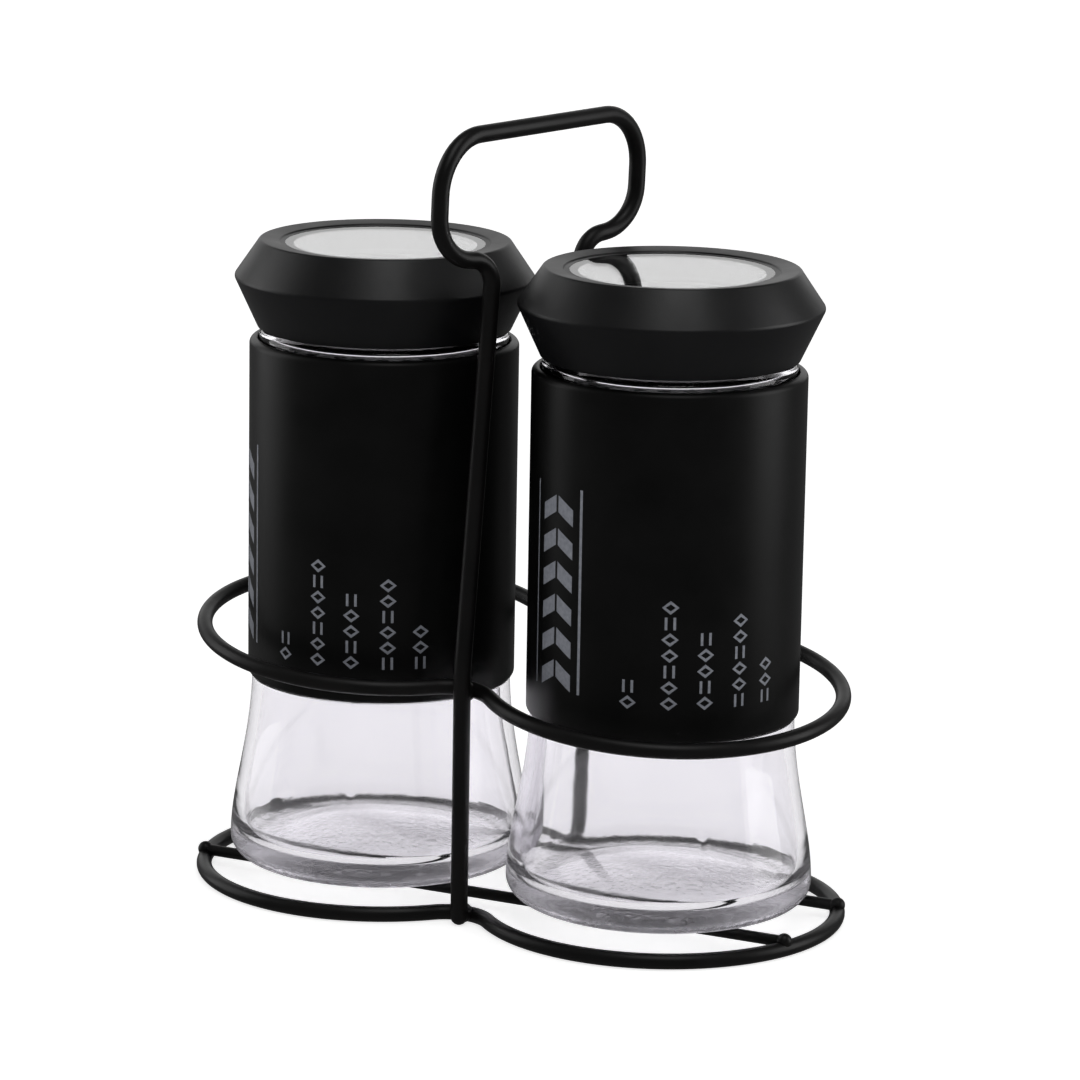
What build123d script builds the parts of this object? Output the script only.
from build123d import *
import math
import os

# Two glass shakers in a wire caddy. Millimetres, +Z up, the caddy stands on z = 0 with its
# centre over the origin, the shakers stand side by side along X and the handle runs along Y.

# ---- caddy wires ----
RING_WIRE_R = 1.5            # base ring and upper ring
HANDLE_WIRE_R = 1.65         # one wire: two uprights, two loops and the top bar
BAR_WIRE_R = 1.1             # the two cross bars that the jars stand on
SPACING = 60.4               # between the two shaker axes
LOBE_R = 34.5                # ring centreline around each shaker
WAIST = 22.0                 # ring centreline at its narrowest, measured from the centre
UPPER_RING_Z = 47.5
LEFT_RISE = 0.070            # the upper ring is welded on out of level: its slope up to the left
REAR_RISE = 0.081            # and its slope up to the rear
BAR_Y = 13.0
BAR_OVERHANG = 0.6           # how far a bar's end passes the centre of the ring wire
BAR_SINK = 1.2               # the thin bars are pressed into the ring when they are welded
WELD_SINK = 0.3              # the ring and the handle wire are pressed together less
RING_WELD_R = 2.0
WELD_CLEAR = 0.1             # the lowest beads stay off the table by this much
BAR_WELD_R = 1.5
BAR_END_ROUND_R = 0.3

# ---- handle, seen along its own plane: u is the distance out from the centre ----
SHOULDER_TWIST = 5.4         # degrees about Z, where the uprights bend out below the loops
LOOP_TWIST = 13.2            # degrees about Z, the loops and the top bar
HANDLE_LEAN = 3.1            # how far the top bar stands towards +X
UPRIGHT_KNEE_Z = 50.0        # the uprights are plumb up to here, then lean inwards
SHOULDER = (15.9, 126.9)     # u, z of the bend below each loop
LOOP_CORNER = (29.4, 128.4)  # u, z of the loop's lower outer corner, before rounding
HANDLE_TOP_Z = 150.7         # centreline of the top bar
KNEE_BEND_R = 40.0
SHOULDER_BEND_R = 5.0
LOOP_LOW_BEND_R = 8.7
LOOP_TOP_BEND_R = 10.7

# ---- glass jar: radii, and heights above its foot (H) or above the table (Z) ----
SEAT_GAP = 0.05              # air left between each jar and the bars under it
JAR_FOOT_Z = 2 * RING_WIRE_R + 2 * BAR_WIRE_R - BAR_SINK + SEAT_GAP
FOOT_R = 25.1                # edge of the flat that the jar stands on
HEEL_R = 29.3                # widest point of the glass
HEEL_H = 3.8
HEEL_PULL = 0.55             # how full the heel's curve is; 0.55 is a quarter ellipse
FLARE = ((28.2, 10.5), (26.5, 23.5))   # radius, height: the hollow curve above the heel
BODY_R = 24.1                # the straight wall inside the sleeve
STEP_R = 25.2                # top of the flare, just under the sleeve
STEP_H = 36.3
WALL = 1.9
INSIDE_TOP_H = 40.3          # the inside is straight above this
INSIDE = ((25.1, 17.0), (24.6, 12.1))  # radius, height: the inside of the flare
FLOOR_R = 18.0               # flat part of the floor
FLOOR_H = 7.5                # thick bottom
PUSH_UP_R = 19.0             # shallow hollow under the foot
PUSH_UP_H = 1.2
SHOULDER_Z = 108.6           # flat glass shoulder under the lid
SHOULDER_ROUND_R = 1.4
SHOULDER_IN_Z = (104.4, 107.8)         # the slope inside, from the wall to the neck
NECK_R = 21.6
NECK_BORE_R = 19.4
JAR_RIM_Z = 117.3
RIM_ROUND_R = 0.8

# ---- sleeve ----
SLEEVE_R = 26.0
SLEEVE_WALL = 0.7
SLEEVE_LIP_R = 1.5           # the rolled edges
SLEEVE_MOUTH_R = 24.4
SLEEVE_GAP = 0.1             # air between the flare's step and the sleeve
SLEEVE_BOTTOM_Z = JAR_FOOT_Z + STEP_H + SLEEVE_GAP
SLEEVE_TOP_Z = 106.9

# ---- sifter ----
SIFTER_FLANGE_R = 21.4
SIFTER_SKIRT_R = 19.3
SIFTER_FLANGE_T = 1.0
SIFTER_WALL = 1.2
SIFTER_DEPTH = 7.5
SIFTER_HOLE_R = 1.5
SIFTER_RINGS = ((4.8, 6), (9.6, 12), (14.0, 16))   # circle radius, number of holes

# ---- lid ----
LID_BOTTOM_Z = 109.0
LID_BOTTOM_R = 24.4
LID_WIDE_Z = 118.9
LID_WIDE_R = 29.0
LID_TOP_Z = 126.05
LID_TOP_R = 24.1
LID_EDGE_R = 0.7
LID_IN_TOP_R = 22.7          # inner corners of the shell
LID_IN_WIDE_R = 26.4
LID_IN_FOOT_Z = 113.1
LID_BORE_R = 22.95           # the shell is pressed over the collar
WINDOW_LIP_T = 0.7
WINDOW_OPEN_R = 19.2
WINDOW_SEAT_R = 20.6
WINDOW_R = 20.55
WINDOW_T = 1.8
SEAL_GAP = 0.1               # seal to sifter flange, before it is pressed down
SEAL_T = 1.2
SEAL_IN_R = 18.3
SEAL_OUT_R = 21.2
SEAL_ROUND_R = 0.3
COLLAR_R = 22.9
COLLAR_BORE_R = 21.7
COLLAR_BOTTOM_Z = 109.7
COLLAR_STEP_H = 1.0          # above the seal the collar narrows to the window's seat
COLLAR_WELL_R = 17.6         # the clear bore under the window

os.makedirs("parts", exist_ok=True)
WRITTEN = []


def save(block, name):
    """Label a finished piece and write it as its own STEP file."""
    block.part.label = name
    export_step(block.part, f"parts/{name}.step")
    WRITTEN.append(name)


def turned(plane):
    """The upright axis of the shaker whose section is drawn on this plane."""
    return Axis(plane.origin, plane.y_dir)


def waist_arc():
    """Centre distance and radius of the reverse arc that joins the two lobes of a ring."""
    half = SPACING / 2
    gap = LOBE_R - WAIST
    centre_y = (half**2 - gap**2) / (2 * gap)
    return centre_y, centre_y - WAIST


def make_ring(name, plane):
    """A closed two-lobed wire ring, its centreline drawn on the given plane."""
    half = SPACING / 2
    centre_y, waist_r = waist_arc()
    turn = math.degrees(math.atan2(centre_y, half))
    with BuildPart() as ring:
        with BuildLine(plane) as path:
            CenterArc((half, 0), LOBE_R, turn - 180, 360 - 2 * turn)
            CenterArc((0, centre_y), waist_r, -turn, 2 * turn - 180)
            CenterArc((-half, 0), LOBE_R, turn, 360 - 2 * turn)
            CenterArc((0, -centre_y), waist_r, 180 - turn, 2 * turn - 180)
        with BuildSketch(Plane(origin=path.line @ 0, z_dir=path.line % 0)):
            Circle(RING_WIRE_R)
        sweep(path=path.line)
    save(ring, name)
    return ring.part


# ---------------------------------------------------------------- caddy
BASE_PLANE = Plane.XY.offset(RING_WIRE_R)
UPPER_PLANE = Plane(
    origin=(0, 0, UPPER_RING_Z),
    x_dir=(1, 0, -LEFT_RISE),
    z_dir=(LEFT_RISE, -REAR_RISE, 1),
)
base_ring = make_ring("base_ring", BASE_PLANE)
upper_ring = make_ring("upper_ring", UPPER_PLANE)

bar_reach = SPACING / 2 + math.sqrt(LOBE_R**2 - BAR_Y**2) + BAR_OVERHANG
bar_z = 2 * RING_WIRE_R + BAR_WIRE_R - BAR_SINK
bars = []
for side, name in ((-1, "front_cross_bar"), (1, "rear_cross_bar")):
    with BuildPart() as bar:
        with BuildSketch(Plane(origin=(-bar_reach, side * BAR_Y, bar_z), z_dir=(1, 0, 0))):
            Circle(BAR_WIRE_R)
        extrude(amount=2 * bar_reach)
        fillet(bar.edges().filter_by(GeomType.CIRCLE), BAR_END_ROUND_R)
        add(base_ring, mode=Mode.SUBTRACT)
    save(bar, name)
    bars.append(bar.part)

upright_y = WAIST + RING_WIRE_R + HANDLE_WIRE_R - WELD_SINK


def on_handle(side, turn, u, z):
    """A point of the handle: side -1 is the front half, +1 the rear half, turned by some degrees."""
    twist = math.radians(turn)
    lean = HANDLE_LEAN * (z - UPRIGHT_KNEE_Z) / (HANDLE_TOP_Z - UPRIGHT_KNEE_Z)
    return (side * u * math.sin(twist) + lean, side * u * math.cos(twist), z)


def half_handle(side):
    """The corners of one half of the handle, from the table up to the top bar."""
    return [
        (0, side * upright_y, HANDLE_WIRE_R),
        (0, side * upright_y, UPRIGHT_KNEE_Z),
        on_handle(side, SHOULDER_TWIST, *SHOULDER),
        on_handle(side, LOOP_TWIST, *LOOP_CORNER),
        on_handle(side, LOOP_TWIST, LOOP_CORNER[0], HANDLE_TOP_Z),
    ]


half_bends = [KNEE_BEND_R, SHOULDER_BEND_R, LOOP_LOW_BEND_R, LOOP_TOP_BEND_R]
points = half_handle(-1) + half_handle(1)[::-1]
bends = half_bends + half_bends[::-1]
with BuildPart() as handle_wire:
    with BuildLine() as route_line:
        FilletPolyline(*points, radius=bends)
    with BuildSketch(Plane(origin=route_line.line @ 0, z_dir=route_line.line % 0)):
        Circle(HANDLE_WIRE_R)
    sweep(path=route_line.line)
    with Locations(points[0], points[-1]):
        Sphere(HANDLE_WIRE_R)
    for ring_part in (base_ring, upper_ring):
        add(ring_part, mode=Mode.SUBTRACT)
save(handle_wire, "handle_wire")


def make_welds(name, bead_r, spots, wires):
    """Small beads of weld metal at the given spots, in the corners left between the wires."""
    with BuildPart() as beads:
        with Locations(*spots):
            Sphere(bead_r)
        for wire in wires:
            add(wire, mode=Mode.SUBTRACT)
    save(beads, name)


weld_y = WAIST + RING_WIRE_R
for name, ring_part, height, rise in (
    ("base_ring_welds", base_ring, RING_WELD_R + WELD_CLEAR, 0),
    ("upper_ring_welds", upper_ring, UPPER_RING_Z, REAR_RISE),
):
    waist_spots = [(0, side * weld_y, height + side * weld_y * rise) for side in (-1, 1)]
    make_welds(name, RING_WELD_R, waist_spots, [ring_part, handle_wire.part])
bar_end = bar_reach - BAR_OVERHANG
make_welds(
    "cross_bar_welds",
    BAR_WELD_R,
    [(sx * bar_end, sy * BAR_Y, 2 * RING_WIRE_R) for sx in (-1, 1) for sy in (-1, 1)],
    [base_ring, *bars],
)


# ---------------------------------------------------------------- shakers
def make_jar(prefix, plane):
    """Blown glass jar: thick flared foot, straight body, narrower neck with a rounded rim."""
    z0 = JAR_FOOT_Z
    inner_r = BODY_R - WALL
    with BuildPart() as jar:
        with BuildSketch(plane) as section:
            with BuildLine():
                hollow = TangentArc((0, z0 + PUSH_UP_H), (PUSH_UP_R, z0), tangent=(1, 0))
                Line(hollow @ 1, (FOOT_R, z0))
                heel = Bezier(
                    (FOOT_R, z0),
                    (FOOT_R + HEEL_PULL * (HEEL_R - FOOT_R), z0),
                    (HEEL_R, z0 + (1 - HEEL_PULL) * HEEL_H),
                    (HEEL_R, z0 + HEEL_H),
                )
                flare = Spline(
                    heel @ 1,
                    *[(r, z0 + h) for r, h in FLARE],
                    (STEP_R, z0 + STEP_H),
                    tangents=((0, 1), (-0.05, 1)),
                )
                body = Polyline(
                    flare @ 1,
                    (BODY_R, z0 + STEP_H),
                    (BODY_R, SHOULDER_Z),
                    (NECK_R, SHOULDER_Z),
                    (NECK_R, JAR_RIM_Z),
                    (NECK_BORE_R, JAR_RIM_Z),
                    (NECK_BORE_R, SHOULDER_IN_Z[1]),
                    (inner_r, SHOULDER_IN_Z[0]),
                    (inner_r, z0 + INSIDE_TOP_H),
                )
                inside = Spline(
                    body @ 1,
                    *[(r, z0 + h) for r, h in INSIDE],
                    (FLOOR_R, z0 + FLOOR_H),
                    tangents=((0, -1), (-1, 0)),
                )
                Polyline(inside @ 1, (0, z0 + FLOOR_H), hollow @ 0)
            make_face()
            shoulder = section.vertices().sort_by_distance((BODY_R, SHOULDER_Z))[0]
            fillet(shoulder, SHOULDER_ROUND_R)
            fillet(section.vertices().group_by(Axis.Y)[-1], RIM_ROUND_R)
        revolve(axis=turned(plane))
    save(jar, f"{prefix}_glass_jar")


def make_sleeve(prefix, plane):
    """Thin metal tube around the glass, both edges rolled inwards."""
    inner_r = SLEEVE_R - SLEEVE_WALL
    low = SLEEVE_BOTTOM_Z + SLEEVE_WALL
    high = SLEEVE_TOP_Z - SLEEVE_WALL
    with BuildPart() as sleeve:
        with BuildSketch(plane):
            with BuildLine():
                outside = FilletPolyline(
                    (SLEEVE_MOUTH_R, SLEEVE_BOTTOM_Z),
                    (SLEEVE_R, SLEEVE_BOTTOM_Z),
                    (SLEEVE_R, SLEEVE_TOP_Z),
                    (SLEEVE_MOUTH_R, SLEEVE_TOP_Z),
                    radius=SLEEVE_LIP_R,
                )
                inside = FilletPolyline(
                    (SLEEVE_MOUTH_R, high),
                    (inner_r, high),
                    (inner_r, low),
                    (SLEEVE_MOUTH_R, low),
                    radius=SLEEVE_LIP_R - SLEEVE_WALL,
                )
                Line(outside @ 1, inside @ 0)
                Line(inside @ 1, outside @ 0)
            make_face()
        revolve(axis=turned(plane))
    save(sleeve, f"{prefix}_sleeve")


def make_sifter(prefix, plane):
    """Perforated cup that hangs in the jar's mouth by its flange."""
    axis_x = plane.origin.X
    floor_z = JAR_RIM_Z - SIFTER_DEPTH
    top_z = JAR_RIM_Z + SIFTER_FLANGE_T
    with BuildPart() as sifter:
        with BuildSketch(plane):
            with BuildLine():
                Polyline(
                    (0, floor_z),
                    (SIFTER_SKIRT_R, floor_z),
                    (SIFTER_SKIRT_R, JAR_RIM_Z),
                    (SIFTER_FLANGE_R, JAR_RIM_Z),
                    (SIFTER_FLANGE_R, top_z),
                    (SIFTER_SKIRT_R - SIFTER_WALL, top_z),
                    (SIFTER_SKIRT_R - SIFTER_WALL, floor_z + SIFTER_WALL),
                    (0, floor_z + SIFTER_WALL),
                    close=True,
                )
            make_face()
        revolve(axis=turned(plane))
        with BuildSketch(Plane.XY.offset(floor_z)):
            with Locations((axis_x, 0)):
                Circle(SIFTER_HOLE_R)
                for ring_r, count in SIFTER_RINGS:
                    with PolarLocations(ring_r, count):
                        Circle(SIFTER_HOLE_R)
        extrude(amount=SIFTER_WALL, mode=Mode.SUBTRACT)
    save(sifter, f"{prefix}_sifter")


def make_lid(prefix, plane):
    """Double-cone lid shell, window, collar that clamps the window, and the seal under it."""
    lip_z = LID_TOP_Z - WINDOW_LIP_T
    window_z = lip_z - WINDOW_T
    with BuildPart() as shell:
        with BuildSketch(plane):
            with BuildLine():
                Polyline(
                    (LID_BORE_R, LID_BOTTOM_Z),
                    (LID_BOTTOM_R, LID_BOTTOM_Z),
                    (LID_WIDE_R, LID_WIDE_Z),
                    (LID_TOP_R, LID_TOP_Z),
                    (WINDOW_OPEN_R, LID_TOP_Z),
                    (WINDOW_OPEN_R, lip_z),
                    (WINDOW_SEAT_R, lip_z),
                    (WINDOW_SEAT_R, window_z),
                    (LID_IN_TOP_R, window_z),
                    (LID_IN_WIDE_R, LID_WIDE_Z),
                    (LID_BORE_R, LID_IN_FOOT_Z),
                    close=True,
                )
            make_face()
        revolve(axis=turned(plane))
        for rim_r, rim_z in ((LID_WIDE_R, LID_WIDE_Z), (LID_TOP_R, LID_TOP_Z)):
            rims = shell.edges().filter_by(GeomType.CIRCLE)
            rims = rims.filter_by(lambda e: math.hypot(e.radius - rim_r, e.center().Z - rim_z) < 0.01)
            fillet(rims, LID_EDGE_R)
    save(shell, f"{prefix}_lid_shell")

    with BuildPart() as window:
        with BuildSketch(Plane.XY.offset(window_z)):
            with Locations((plane.origin.X, 0)):
                Circle(WINDOW_R)
        extrude(amount=WINDOW_T)
    save(window, f"{prefix}_lid_window")

    seal_z = JAR_RIM_Z + SIFTER_FLANGE_T + SEAL_GAP
    with BuildPart() as collar:
        with BuildSketch(plane):
            with BuildLine():
                Polyline(
                    (COLLAR_BORE_R, COLLAR_BOTTOM_Z),
                    (COLLAR_R, COLLAR_BOTTOM_Z),
                    (COLLAR_R, seal_z + SEAL_T + COLLAR_STEP_H),
                    (WINDOW_SEAT_R, seal_z + SEAL_T + COLLAR_STEP_H),
                    (WINDOW_SEAT_R, window_z),
                    (COLLAR_WELL_R, window_z),
                    (COLLAR_WELL_R, seal_z + SEAL_T),
                    (COLLAR_BORE_R, seal_z + SEAL_T),
                    close=True,
                )
            make_face()
        revolve(axis=turned(plane))
    save(collar, f"{prefix}_lid_collar")

    with BuildPart() as seal:
        with BuildSketch(Plane.XY.offset(seal_z)):
            with Locations((plane.origin.X, 0)):
                Circle(SEAL_OUT_R)
                Circle(SEAL_IN_R, mode=Mode.SUBTRACT)
        extrude(amount=SEAL_T)
        fillet(seal.edges().filter_by(GeomType.CIRCLE), SEAL_ROUND_R)
    save(seal, f"{prefix}_lid_seal")


for side, prefix in ((-1, "left"), (1, "right")):
    # Local x of this plane is the radius and local y is the height.
    section = Plane(origin=(side * SPACING / 2, 0, 0), x_dir=(1, 0, 0), z_dir=(0, -1, 0))
    make_jar(prefix, section)
    make_sleeve(prefix, section)
    make_sifter(prefix, section)
    make_lid(prefix, section)

print(f"{len(WRITTEN)} pieces written")
